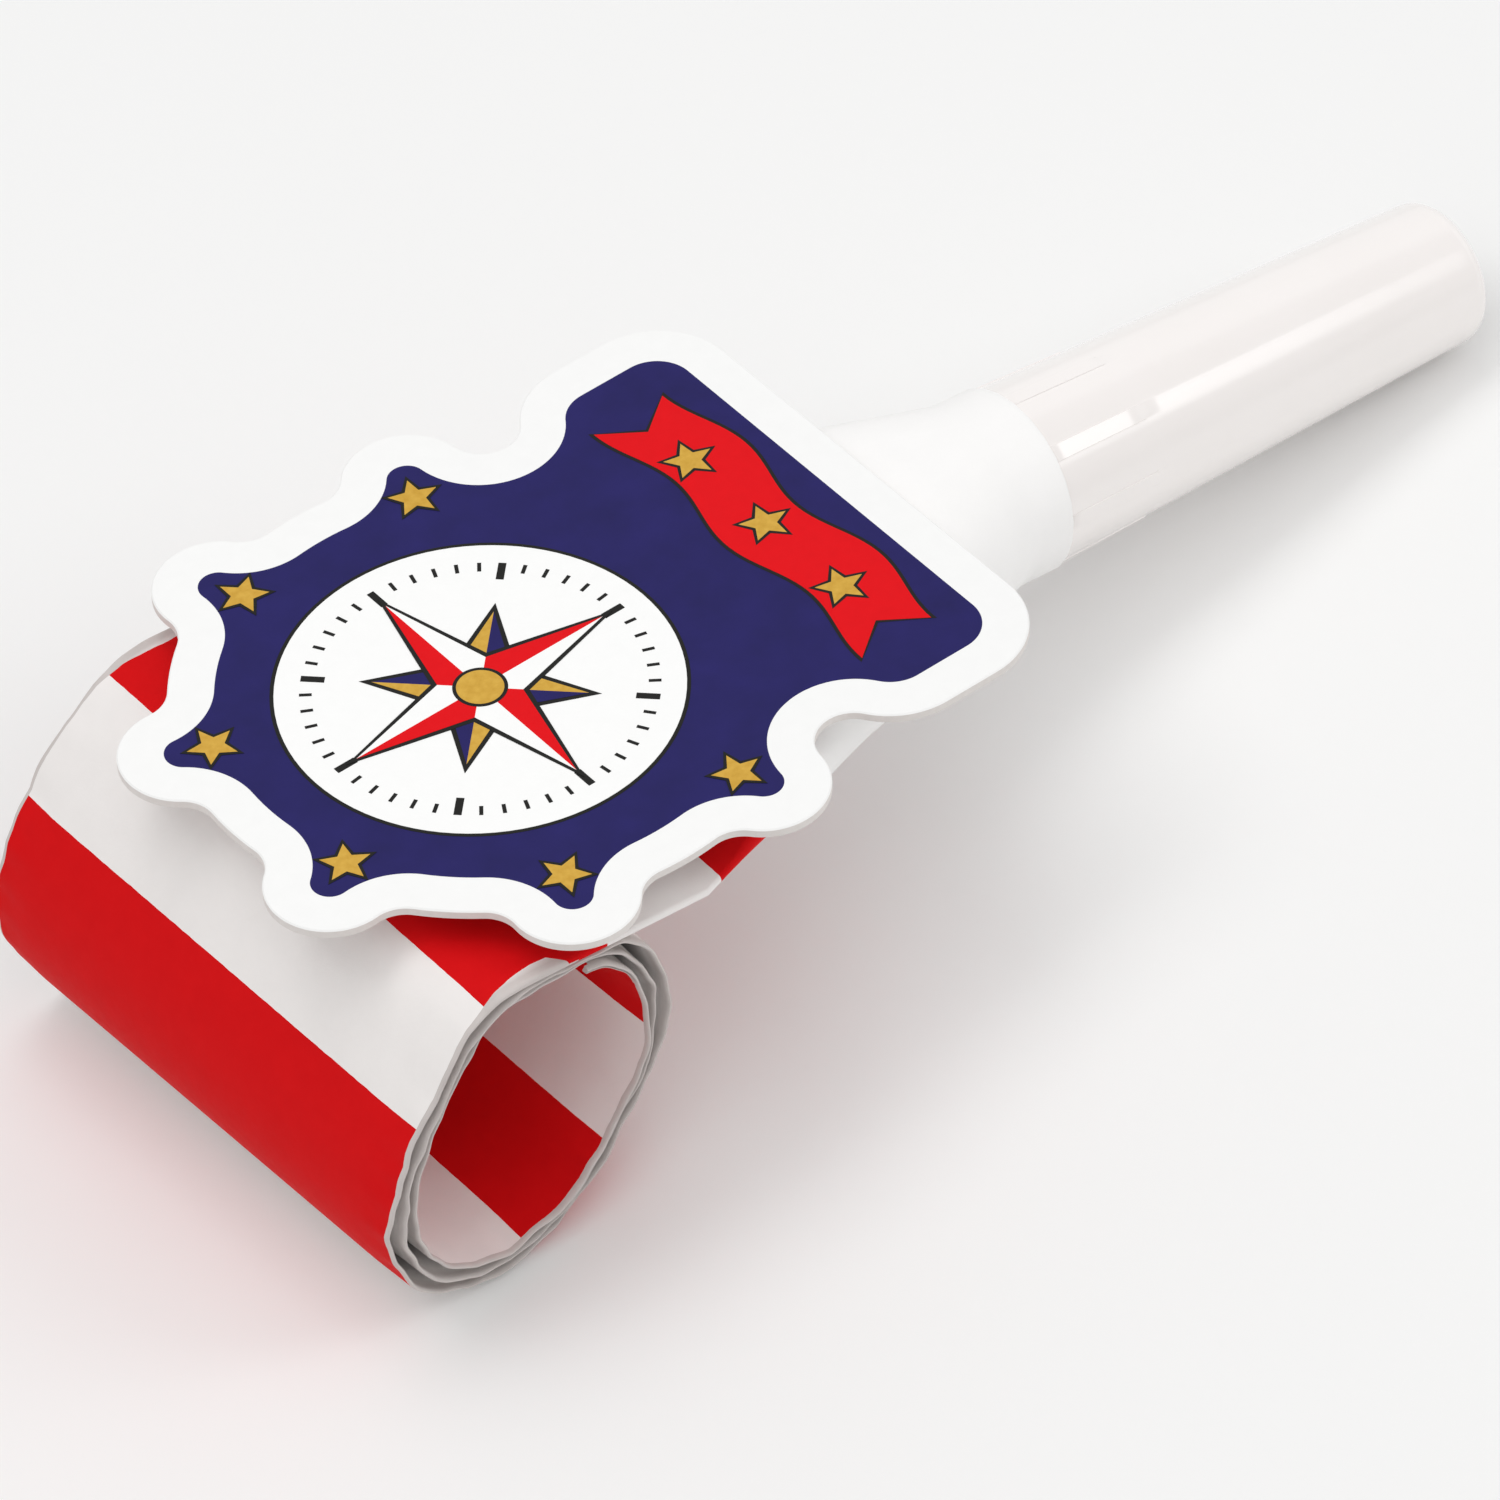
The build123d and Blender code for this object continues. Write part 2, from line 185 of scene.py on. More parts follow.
# Print on the card
INK = 0.012  # one printed layer
FIELD_INSET = 3.7  # white border round the printed field
LINE = 0.32  # printed outline
RIBBON_X = 9.8
RIBBON_HALF = 3.5
RIBBON_REACH = 17.0
RIBBON_WAVE = 0.8
RIBBON_NOTCH = 2.6
RIBBON_STEPS = 48
RIBBON_STARS = (-9.6, 0.0, 9.6)
ROSE_MIDDLE = (DISC_FORWARD + 0.8, 0.0)
ROSE_RADIUS = 16.2
MAJOR_TURNS, MAJOR_SIZE, MAJOR_EDGE = (0, 90, 180, 270), (12.2, 3.4), (13.2, 3.9)
MINOR_TURNS, MINOR_SIZE, MINOR_EDGE = (45, 135, 225, 315), (8.6, 3.1), (9.6, 3.6)
BOSS_RADIUS, BOSS_EDGE = 1.9, 2.2
TICK_COUNT = 48
TICK_OUTER = 14.2
TICK_LENGTH = 1.0
LONG_TICK_LENGTH = 1.9
LONG_TICK_EVERY = 6
LOBE_STAR_REACH = 22.3
STAR_POINTS = 5
STAR_SIZE, STAR_EDGE = (2.1, 0.95), (2.644, 1.27)  # outer and inner radius

# Foam pads
PAD_LENGTH = 9.0
PAD_WIDTH = 16.0
PAD_STARTS = {"foam_pad_rear": 17.5, "foam_pad_front": 35.0}
PAD_SWELL = 0.03  # how much wider a pressed pad is half way up
PAD_END_ROUND = 0.06  # how far its ends and sides draw in at the corners
PAD_SIDE_ROUND = 0.03
PAD_POINTS = 17
PAD_LEVELS = 7

# Stage, with the camera's axes in the horn's frame and lamp directions in the camera's
VIEW_RIGHT = (-0.77932, 0.62541, 0.03907)
VIEW_UP = (-0.38651, -0.52883, 0.75561)
VIEW_BACK = (0.49323, 0.57376, 0.65386)
VIEW_AIM = (71.2, -1.6, -17.3)
VIEW_DISTANCE = 992.6
LENS = 295.2
SENSOR = 36.0
LAMPS = {  # direction, distance and sizes in metres, watts
    "key_lamp": ((-0.2, 0.45, 0.87), 0.7, (0.6, 0.6), 1.0),
    "top_lamp": ((-0.36, 0.72, 0.6), 0.7, (0.7, 0.26), 1.1),
    "side_lamp": ((0.75, 0.4, 0.53), 0.8, (0.3, 0.3), 0.9),
}
WORLD_LIGHT = 0.57
FLOOR_HALF = 3.0  # metres

# Values that follow
MOUTHPIECE_LENGTH = EXPOSED + INSERT
PLUG_SEAT_RADIUS = SEAT_RADIUS - MOULD_WALL
BORE_MIDDLE = (LIP_INNER_ROUND + BORE_LENGTH) / 2  # of its straight wall, from the mouth end
COLLAR_RADIUS = SEAT_RADIUS + NECK_WALL
ROLL_X = EXPOSED + NECK_LENGTH + FLAT_RUN
TUBE_TOP = TUBE_THICK / 2
SPAN_SHRINK = TURN_PITCH * SPAN_TURN / 360
ROLL_TURN = SPAN_COUNT * SPAN_TURN
LOBE_STEP = 360 / LOBE_COUNT
LOBE_TURNS = np.arange(LOBE_STEP / 2, 180 - LOBE_STEP, LOBE_STEP)  # none at the foot

Span = namedtuple("Span", "x z radius start end")


def horn_matrix():
    """Horn frame in millimetres to the row frame in metres, from the bore at the mouth end."""
    bore = next(m for m in frame["record"]["mounts"] if m["name"] == "mouth_bore")
    forward = -Vector(bore["axis"])
    sideways = Vector((0, 1, 0))
    turn = Matrix((forward, sideways, forward.cross(sideways))).transposed()
    origin = Vector(bore["pos_m"]) - forward * BORE_MIDDLE * MM
    return Matrix.Translation(origin) @ turn.to_4x4() @ Matrix.Scale(MM, 4)


HORN = horn_matrix()


def in_row(points):
    """Horn points in millimetres as row points in metres."""
    points = np.asarray(points, float)
    matrix = np.array(HORN)
    return points @ matrix[:3, :3].T + matrix[:3, 3]


def ease(t):
    """Smooth step from 0 to 1."""
    t = np.clip(t, 0.0, 1.0)
    return t * t * (3 - 2 * t)


def linear(red, green, blue):
    """Linear colour from an 8-bit screen colour."""
    shares = np.array([red, green, blue]) / 255
    values = np.where(shares <= 0.04045, shares / 12.92, ((shares + 0.055) / 1.055) ** 2.4)
    return tuple(float(v) for v in values) + (1.0,)


# Meshes

def add_object(name, data):
    item = bpy.data.objects.new(name, data)
    bpy.context.scene.collection.objects.link(item)
    return item


def make_piece(name, points, faces, material, body, sharp=None):
    """Mesh piece from horn points, riding on a body. Smooth below a sharp angle in degrees, or flat."""
    mesh = bpy.data.meshes.new(name)
    mesh.from_pydata([tuple(p) for p in in_row(np.reshape(points, (-1, 3)))], [], faces)
    mesh.polygons.foreach_set("use_smooth", [sharp is not None] * len(mesh.polygons))
    mesh.materials.append(material)
    mesh.update()
    if sharp is not None:
        mesh.set_sharp_from_angle(angle=math.radians(sharp))
    piece = add_object(name, mesh)
    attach(piece, body)
    return piece


def store(piece, name, values):
    """Stores a number at each point of a piece for its material."""
    attribute = piece.data.attributes.new(name, "FLOAT", "POINT")
    attribute.data.foreach_set("value", np.asarray(values, np.float32).ravel())


def store_print(piece, along, across, underside):
    """Stripes printed up to each point, and how far it lies inside the tube's edges and the print's."""
    store(piece, "stripes", np.interp(along, PRINT_LENGTHS, PRINT_STRIPES))
    outer, inner = margin_limits(along)
    inward = TUBE_WIDTH / 2 - np.abs(across)
    store(piece, "inward", inward)
    store(piece, "margin", inward - np.where(underside, inner, outer))


def ring_faces(ring_count, ring_size, closed):
    """Quads between rings of points. Closed joins the last ring to the first."""
    faces = []
    for i in range(ring_count if closed else ring_count - 1):
        a, b = i * ring_size, (i + 1) % ring_count * ring_size
        for j in range(ring_size):
            k = (j + 1) % ring_size
            faces.append((a + j, a + k, b + k, b + j))
    return faces


def capped_faces(ring_count, ring_size, first=0):
    """Quads between rings of points numbered from the first, and a face on each end."""
    faces = ring_faces(ring_count, ring_size, closed=False)
    last = (ring_count - 1) * ring_size
    faces += [tuple(reversed(range(ring_size))), tuple(range(last, last + ring_size))]
    return [tuple(first + i for i in face) for face in faces]


def flat_round(width, height, sides=14, flats=36):
    """Flattened round section as rows of (across, up), clockwise from the upper right."""
    end = height / 2
    side = width / 2 - end
    turns = np.linspace(0, math.pi, sides)
    right = np.stack([side + end * np.sin(turns), end * np.cos(turns)], 1)
    spread = np.sin(np.linspace(-math.pi / 2, math.pi / 2, flats + 2))[1:-1] * side
    bottom = np.stack([-spread, np.full(flats, -end)], 1)
    left = -right
    top = np.stack([spread, np.full(flats, end)], 1)
    return np.concatenate([right, bottom, left, top])


# Materials

class Paint:
    """A Principled material and short ways to add nodes to it."""

    def __init__(self, name, **sockets):
        self.material = bpy.data.materials.new(name)
        self.material.use_nodes = True
        self.tree = self.material.node_tree
        self.shader = self.tree.nodes["Principled BSDF"]
        for socket, value in sockets.items():
            self.shader.inputs[socket.replace("_", " ")].default_value = value

    def add(self, kind, inputs=None, **settings):
        node = self.tree.nodes.new(kind)
        for key, value in settings.items():
            setattr(node, key, value)
        for key, value in (inputs or {}).items():
            self.feed(node.inputs[key], value)
        return node

    def feed(self, socket, value):
        """Links a node's output to a socket, or sets the socket's own value."""
        if isinstance(value, bpy.types.NodeSocket):
            self.tree.links.new(value, socket)
        else:
            socket.default_value = value

    def math(self, operation, first, second=0.0):
        return self.add("ShaderNodeMath", {0: first, 1: second}, operation=operation).outputs[0]

    def noise(self, scale, detail=3.0, rough=0.55):
        """Noise over the object, with its scale in features per metre."""
        place = self.add("ShaderNodeTexCoord").outputs["Object"]
        inputs = {"Vector": place, "Scale": scale, "Detail": detail, "Roughness": rough}
        return self.add("ShaderNodeTexNoise", inputs).outputs["Fac"]

    def spread(self, value, low, high):
        """Maps a 0 to 1 value onto a range."""
        inputs = {"Value": value, "To Min": low, "To Max": high}
        return self.add("ShaderNodeMapRange", inputs).outputs["Result"]

    def mix(self, share, first, second):
        node = self.add("ShaderNodeMix", data_type="RGBA")
        self.feed(node.inputs["Factor"], share)
        self.feed(node.inputs["A"], first)
        self.feed(node.inputs["B"], second)
        return node.outputs["Result"]

    def colour(self, value):
        self.feed(self.shader.inputs["Base Color"], value)

    def rough(self, value):
        self.feed(self.shader.inputs["Roughness"], value)

    def bump(self, height, distance, strength=0.5):
        inputs = {"Height": height, "Distance": distance * MM, "Strength": strength}
        self.feed(self.shader.inputs["Normal"], self.add("ShaderNodeBump", inputs).outputs["Normal"])


def mottled(paint, scale, light, dark):
    """Two close colours mixed by soft noise."""
    return paint.mix(paint.noise(scale), dark, light)


def paper_material():
    """Printed paper: white neck, then red and white stripes across the tube, with painted shade on the tube's
    white and near its folded edges.
    """
    paint = Paint("striped_paper", Specular_IOR_Level=0.04)
    stripes = paint.add("ShaderNodeAttribute", attribute_name="stripes").outputs["Fac"]
    margin = paint.add("ShaderNodeAttribute", attribute_name="margin").outputs["Fac"]
    inward = paint.add("ShaderNodeAttribute", attribute_name="inward").outputs["Fac"]
    wobble = paint.spread(paint.noise(900.0), -STRIPE_WOBBLE, STRIPE_WOBBLE)
    place = paint.math("ADD", stripes, wobble)
    phase = paint.math("FLOORED_MODULO", place, 2.0)
    stripe = paint.math("LESS_THAN", phase, 1.0)
    printed = paint.math("GREATER_THAN", place, 0.0)
    ragged = paint.spread(paint.noise(260.0), -PRINT_RAGGED, PRINT_RAGGED)
    inside = paint.math("GREATER_THAN", margin, ragged)
    plain = mottled(paint, 350.0, linear(253, 252, 251), linear(249, 248, 247))
    # painted shade: the printed white on the tube is greyer than the plain white of the neck, standing in for the
    # roll's shade
    white = mottled(paint, 350.0, linear(245, 241, 239), linear(239, 235, 233))
    red = mottled(paint, 500.0, linear(220, 19, 23), linear(210, 15, 20))
    # painted shade: greyer paper near the folded edges, which lie in shade
    edge_shade = mottled(paint, 700.0, linear(212, 205, 202), linear(198, 191, 188))
    fade = {"Value": inward, "From Min": EDGE_SHADE_WIDTH, "From Max": EDGE_SHADE_WIDTH / 2}
    edge_shade_share = paint.add("ShaderNodeMapRange", fade).outputs["Result"]
    bare = paint.mix(edge_shade_share, white, edge_shade)
    striped = paint.mix(inside, bare, paint.mix(stripe, white, red))
    paint.colour(paint.mix(printed, plain, striped))
    paint.rough(paint.spread(paint.noise(1400.0), 0.5, 0.66))
    paint.bump(paint.noise(2600.0, 6.0, 0.65), 0.03)
    return paint.material


def mouthpiece_material():
    """Milky translucent plastic with a gloss and faint flow marks."""
    gloss = {"Coat_Weight": 0.6, "Coat_Roughness": 0.17}
    paint = Paint("mouthpiece_plastic", Transmission_Weight=0.06, IOR=1.46, **gloss)
    paint.colour(mottled(paint, 120.0, linear(250, 245, 243), linear(246, 241, 238)))
    paint.rough(paint.spread(paint.noise(300.0), 0.13, 0.19))
    paint.bump(paint.noise(220.0, 2.0), 0.05, 0.15)
    return paint.material


def plastic_material(name, light, dark, see_through=0.0):
    """Smooth plastic, or film that lets light through."""
    paint = Paint(name, Transmission_Weight=see_through)
    paint.colour(mottled(paint, 500.0, light, dark))
    paint.rough(paint.spread(paint.noise(900.0), 0.3, 0.45))
    paint.bump(paint.noise(1800.0), 0.01, 0.3)
    return paint.material


def card_material():
    """Smooth coated face of the white card."""
    paint = Paint("printed_card", Specular_IOR_Level=0.15)
    paint.colour(mottled(paint, 700.0, linear(250, 250, 249), linear(246, 246, 245)))
    paint.rough(paint.spread(paint.noise(1500.0), 0.38, 0.52))
    paint.bump(paint.noise(2200.0, 5.0), 0.015, 0.4)
    return paint.material


def cut_edge_material():
    """Bare fibres on the card's cut edge."""
    paint = Paint("card_cut_edge", Specular_IOR_Level=0.05)
    paint.colour(mottled(paint, 1800.0, linear(234, 229, 226), linear(222, 217, 213)))
    paint.rough(paint.spread(paint.noise(2400.0), 0.75, 0.95))
    paint.bump(paint.noise(3000.0, 6.0, 0.7), 0.05, 0.6)
    return paint.material


def ink_material(name, light, dark, scale=900.0, rough=(0.34, 0.46)):
    """Printed ink with small uneven spots."""
    paint = Paint(name, Specular_IOR_Level=0.12)
    paint.colour(mottled(paint, scale, light, dark))
    paint.rough(paint.spread(paint.noise(1300.0), *rough))
    paint.bump(paint.noise(2200.0, 5.0), 0.012, 0.4)
    return paint.material


def foam_material():
    """White foam with open pores, painted darker in the pores as painted shade."""
    paint = Paint("foam", Roughness=0.85, Specular_IOR_Level=0.2)
    place = paint.add("ShaderNodeTexCoord").outputs["Object"]
    pores = paint.add("ShaderNodeTexVoronoi", {"Vector": place, "Scale": 2200.0}).outputs["Distance"]
    # painted shade: the foam is darker in the middle of each pore
    paint.colour(paint.mix(pores, linear(214, 213, 208), linear(242, 241, 237)))
    paint.bump(pores, 0.15, 0.8)
    return paint.material


PAPER_PRINT = paper_material()
MILKY = mouthpiece_material()
REED_PLASTIC = plastic_material("reed_plastic", linear(238, 236, 230), linear(230, 228, 222))
REED_FILM = plastic_material("reed_film", linear(226, 230, 233), linear(216, 221, 226), 0.4)
RECOIL_FILM = plastic_material("recoil_film", linear(228, 231, 233), linear(218, 222, 226), 0.4)
CARD_WHITE = card_material()
CARD_CUT = cut_edge_material()
FOAM = foam_material()
NAVY_INK = ink_material("navy_ink", linear(39, 34, 104), linear(27, 24, 78), 260.0)
RED_INK = ink_material("red_ink", linear(230, 4, 18), linear(221, 0, 14))
WHITE_INK = ink_material("white_ink", linear(253, 253, 252), linear(249, 249, 248))
BLACK_INK = ink_material("black_ink", linear(29, 29, 27), linear(23, 23, 21))
GOLD_INK = ink_material("gold_ink", linear(226, 184, 84), linear(190, 142, 44), 1600.0)


# Mouthpiece: outer and inner walls turned round the axis, with gripping ribs inside

def arc_points(centre, radius, start, end, count):
    """Points on an arc as (x, y), angles in degrees."""
    turns = np.radians(np.linspace(start, end, count))
    return np.stack([centre[0] + radius * np.cos(turns), centre[1] + radius * np.sin(turns)], 1)


def mouthpiece_profile():
    """Outline of the wall as (along, radius), and how far a rib raises each point."""
    taper = (SEAT_RADIUS - MOUTH_RADIUS) / EXPOSED
    runout = BORE_LENGTH + BORE_RUNOUT
    rib_start, rib_end = EXPOSED - RIB_SHOW, MOUTHPIECE_LENGTH - FLANGE_LENGTH
    edge = MOULD_EDGE
    lip_middle = (LIP_ROUND, MOUTH_RADIUS + taper * LIP_ROUND - LIP_ROUND)
    lip_out = arc_points(lip_middle, LIP_ROUND, 180, 90, 14)
    lip_in = arc_points((LIP_INNER_ROUND, BORE_RADIUS + LIP_INNER_ROUND), LIP_INNER_ROUND, 270, 180, 7)
    body = np.linspace(LIP_ROUND + 1, rib_start - edge, 20)
    outside = np.stack([body, MOUTH_RADIUS + taper * body], 1)
    marked = np.linspace(rib_start + edge, EXPOSED - edge, 8)
    marks = np.stack([marked, MOUTH_RADIUS + taper * marked], 1)
    seat = [(EXPOSED, SEAT_RADIUS)]
    far_end = [(MOUTHPIECE_LENGTH - edge, SEAT_RADIUS), (MOUTHPIECE_LENGTH, SEAT_RADIUS - edge),
               (MOUTHPIECE_LENGTH, PLUG_SEAT_RADIUS), (rib_end, PLUG_SEAT_RADIUS)]
    ribbed = [(x, PLUG_SEAT_RADIUS) for x in np.linspace(rib_end - edge, rib_start + edge, 12)]
    inside = [(rib_start, PLUG_SEAT_RADIUS), (rib_start - RIB_LEAD, PLUG_SEAT_RADIUS)]
    bore = np.linspace(rib_start - RIB_LEAD - 1, runout, 14)
    tapered = np.stack([bore, MOUTH_RADIUS + taper * bore - MOULD_WALL], 1)
    mouth = [(BORE_LENGTH, BORE_RADIUS), (BORE_LENGTH - 1, BORE_RADIUS)]
    parts = [(lip_out, 0), (outside, 0), (marks, RIB_MARK), (seat, 0), (far_end, 0),
             (ribbed, -RIB_HEIGHT), (inside, 0), (tapered, 0), (mouth, 0), (lip_in, 0)]
    raised = np.concatenate([np.full(len(points), height) for points, height in parts])
    return np.concatenate([np.asarray(points, float) for points, _ in parts]), raised


def make_mouthpiece():
    """Turned wall with ribs inside its far end and faint marks over them outside."""
    profile, raised = mouthpiece_profile()
    half_rib = RIB_WIDTH / 2 / SEAT_RADIUS
    step = 2 * math.pi / RIB_COUNT
    first = math.radians(RIB_TURN)
    across_top = np.linspace(-RIB_TOP, RIB_TOP, RIB_TOP_POINTS)
    across_rib = half_rib * np.concatenate([[-1], across_top, [1]])
    between = np.linspace(half_rib, step - half_rib, 12)[1:-1]
    sector = np.concatenate([across_rib, between])
    turns = np.concatenate([first + i * step + sector for i in range(RIB_COUNT)])
    on_rib = np.tile([0] + [1] * RIB_TOP_POINTS + [0] * (1 + len(between)), RIB_COUNT)
    radius = profile[:, None, 1] + raised[:, None] * on_rib[None, :]
    points = np.stack([
        np.broadcast_to(profile[:, None, 0], radius.shape),
        radius * np.sin(turns),
        radius * np.cos(turns),
    ], 2)
    faces = ring_faces(len(profile), len(turns), closed=True)
    piece = make_piece("mouthpiece_body", points, faces, MILKY, "horn", 40)
    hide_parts("mouthpiece")


def dress_reed():
    """The reed unit's own solids, seen dimly through the plastic."""
    looks = {"reed_plug": REED_PLASTIC, "reed_clamp": REED_PLASTIC, "reed_tongue": REED_FILM}
    for node, material in looks.items():
        materials = frame["nodes"][node].data.materials
        materials.clear()
        materials.append(material)


# Roll and print shared by the neck and the tube

def roll_spans():
    """Arcs of the roll's outer face, each running on from the one before, a little tighter."""
    spans = []
    x, z, radius = ROLL_X, TUBE_TOP - ROLL_RADIUS, ROLL_RADIUS
    for i in range(SPAN_COUNT):
        start, end = i * SPAN_TURN, (i + 1) * SPAN_TURN
        spans.append(Span(x, z, radius, start, end))
        x += SPAN_SHRINK * math.sin(math.radians(end))
        z += SPAN_SHRINK * math.cos(math.radians(end))
        radius -= SPAN_SHRINK
    return spans


SPANS = roll_spans()


def tip_share(turns):
    """Grows from 0 to 1 over the last part of the roll."""
    return ease((turns - ROLL_TURN + TIP_RUN) / TIP_RUN)


def bulge(span, turns):
    """How far the pressed, oval roll lies outside the round one, with no turn in the turn above it."""
    laps = turns / 360
    oval = (OVAL - OVAL_FALL * laps) * np.cos(2 * np.radians(turns - OVAL_AXIS))
    lean = OVAL_LEAN * np.cos(np.radians(turns - OVAL_LEAN_TURN))
    free = ease(turns / OVAL_START) * (OVAL_MEAN + oval + lean) + TIP_TUCK * tip_share(turns)
    upward = np.cos(np.radians(turns))
    ceiling = TUBE_TOP - np.round(laps) * (TUBE_THICK + TURN_GAP)
    room = (ceiling - span.z - span.radius * upward) / np.maximum(upward, TOP_SHARE)
    under_a_turn = (upward > TOP_SHARE) & (laps > 0.5)
    room = np.where(under_a_turn, room, ROLL_RADIUS)
    return (free + room - np.sqrt((free - room) ** 2 + TOP_SOFT)) / 2


def outward(span, turns, across):
    """How far the paper lies outside the round roll, whose right end is pushed further forward."""
    skew = ROLL_SKEW * (0.5 - across / TUBE_WIDTH) * ease(turns / OVAL_START) * np.sin(np.radians(turns))
    return bulge(span, turns) + skew


def on_span(span, turns, across, depth):
    """Points at a depth below a span's outer face, at turns counted from the top of the roll."""
    angle = np.radians(turns)
    reach = span.radius + outward(span, turns, across) - depth
    x, z = span.x + reach * np.sin(angle), span.z + reach * np.cos(angle)
    return np.stack(np.broadcast_arrays(x, across, z), -1)


def paper_lengths():
    """Whole degrees of turn, and the length of paper from the roll's start up to each."""
    turns = np.arange(ROLL_TURN + 1)
    spans = [SPANS[min(int(turn // SPAN_TURN), SPAN_COUNT - 1)] for turn in turns]
    places = np.array([on_span(span, turn, 0.0, 0.0) for span, turn in zip(spans, turns)])
    steps = np.linalg.norm(np.diff(places, axis=0), axis=1)
    return turns, np.concatenate([[0.0], np.cumsum(steps)])


LENGTH_TURNS, LENGTHS = paper_lengths()


def along_roll(turns):
    """Length of paper from the roll's start to each turn."""
    return np.interp(turns, LENGTH_TURNS, LENGTHS)


def margin_limits(along):
    """Width of the bare paper at each length, on the roll's outer and inner side."""
    opening = ease((along - MARGIN_START) / MARGIN_RUN)
    narrowing = ease((along - NARROW_START) / NARROW_RUN)
    hiding = ease((along - HIDDEN_START) / HIDDEN_RUN)
    showing = ease((along - along_roll(ROLL_TURN - 360)) / LAST_RUN)
    outer = NO_MARGIN + (FIRST_MARGIN - NO_MARGIN) * opening - (FIRST_MARGIN - OUTER_MARGIN) * narrowing
    outer = outer + (INNER_MARGIN - OUTER_MARGIN) * hiding
    inner = NO_MARGIN + (INNER_MARGIN - NO_MARGIN) * opening - (INNER_MARGIN - LAST_MARGIN) * showing
    return outer, inner


# Paper neck: round on the mouthpiece, flat where the roll starts

def neck_size(along):
    """Outside width and height of the neck at a distance ahead of the collar's edge."""
    flare = np.clip((along - COLLAR_LENGTH) / (NECK_LENGTH - COLLAR_LENGTH), 0, 1)
    round_width = 2 * COLLAR_RADIUS + ROUND_START
    width = round_width + (TUBE_WIDTH - round_width) * flare
    press = ease((along - INSERT) / (NECK_LENGTH - INSERT))
    return width, 2 * COLLAR_RADIUS + (TUBE_THICK - 2 * COLLAR_RADIUS) * press


def neck_dents(points, along):
    """Shallow dents in the flattening paper, none at the collar or at the flat run."""
    share = np.sin(math.pi * np.clip((along - COLLAR_LENGTH) / (NECK_LENGTH - COLLAR_LENGTH), 0, 1))
    across = points[:, 1]
    wave = np.sin(0.19 * along + 0.31 * across + 0.8) * np.sin(0.27 * across - 0.11 * along)
    points[:, 2] += DENT * share * wave * np.sign(points[:, 2])
    return points


def neck_ring(along, wall):
    width, height = neck_size(along)
    section = flat_round(width - 2 * wall, height - 2 * wall)
    points = np.column_stack([np.full(len(section), EXPOSED + along), section])
    return neck_dents(points, along)


def make_neck():
    """Collar, neck and flat run as one paper shell."""
    end = NECK_LENGTH + FLAT_RUN
    flattening = np.linspace(0.5, NECK_LENGTH, NECK_STEPS)
    flat = np.linspace(NECK_LENGTH, end, FLAT_STEPS)[1:]
    places = np.concatenate([[0, NECK_EDGE], flattening, flat])
    outside = [neck_ring(along, 0.0) for along in places]
    outside[0] = neck_ring(0, NECK_EDGE_IN)
    inside = [neck_ring(along, NECK_WALL) for along in places[::-1]]
    rings = np.array(outside + inside)
    faces = ring_faces(len(rings), rings.shape[1], closed=True)
    piece = make_piece("neck_paper", rings, faces, PAPER_PRINT, "horn", 50)
    along = rings[:, :, 0] - ROLL_X
    store_print(piece, along, rings[:, :, 1], rings[:, :, 2] < 0)
    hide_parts("paper_neck")


# Rolled tube: one length of flattened paper tube for each span between two hinges

def zigzag(phase):
    """Sharp-creased wave between -1 and 1."""
    return np.arcsin(np.sin(phase)) * 2 / math.pi


def edge_shift(along, side):
    """How far the folded edge wanders sideways, in uneven waves that differ at each side."""
    sway = EDGE_SWAY * np.sin(along / 17.0 + 1.3 * side)
    nicks = EDGE_NICK * zigzag(along / 1.9 + 0.6 + side)
    small_nicks = EDGE_SMALL_NICK * zigzag(along / 0.85 + 2.1 * side)
    return sway + nicks + small_nicks - EDGE_INSET


def edge_ripple(along, side):
    """How far the folded edge stands in or out, as uneven pleats in the paper."""
    long_pleats = zigzag(along / 1.25 + 1.9 * np.sin(along / 9.0) + side)
    short_pleats = zigzag(along / 0.55 + 1.3 * np.sin(along / 3.7) + 2.2 * side)
    height = PLEAT + PLEAT_SWELL * np.sin(along / 5.1 + 2 * side)
    return height * long_pleats + SMALL_PLEAT * short_pleats


def tube_section(wall, inset=0.0):
    """Flattened tube's section as rows of (across, depth below the outer face), taken in by a wall."""
    section = flat_round(TUBE_WIDTH - 2 * wall - 2 * inset, TUBE_THICK - 2 * wall, sides=9, flats=44)
    return np.column_stack([section[:, 0], TUBE_TOP - section[:, 1]])


def crumpled(turns, section, wall=0.0):
    """A section at each turn, with its folded edges thin, wandering and pleated."""
    along = along_roll(turns)
    across, depth = section[None, :, 0], section[None, :, 1]
    side = np.sign(across)
    inward = TUBE_WIDTH / 2 - np.abs(across)
    share = ease(along / CRUMPLE_START)[:, None]
    reach = along[:, None]
    half = FOLD_HALF + (TUBE_TOP - FOLD_HALF) * ease(inward / FOLD_TAPER)
    thinner = 1 - share * (1 - np.maximum(half - wall, 0.01) / (TUBE_TOP - wall))
    shift = edge_shift(reach, side) - TIP_TAPER * tip_share(turns)[:, None]
    wander = share * ease(1 - inward / WANDER_DEPTH) * shift
    pleats = share * ease(1 - inward / PLEAT_DEPTH) * edge_ripple(reach, side)
    return across + side * wander, TUBE_TOP + (depth - TUBE_TOP) * thinner + pleats


def flatten_with_roll(piece):
    """Gives the piece its own copy of its mesh."""
    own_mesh(piece)


def paper_rings(span, turns, wall, inset=0.0):
    """Rings of a span's paper at the given turns, and where on the flat tube their points lie."""
    section = tube_section(wall, inset)
    across, depth = crumpled(turns, section, wall)
    rings = on_span(span, turns[:, None], across, depth)
    on_paper = np.broadcast_arrays(along_roll(turns)[:, None], section[:, 0], section[:, 1] > TUBE_TOP)
    return rings, *on_paper


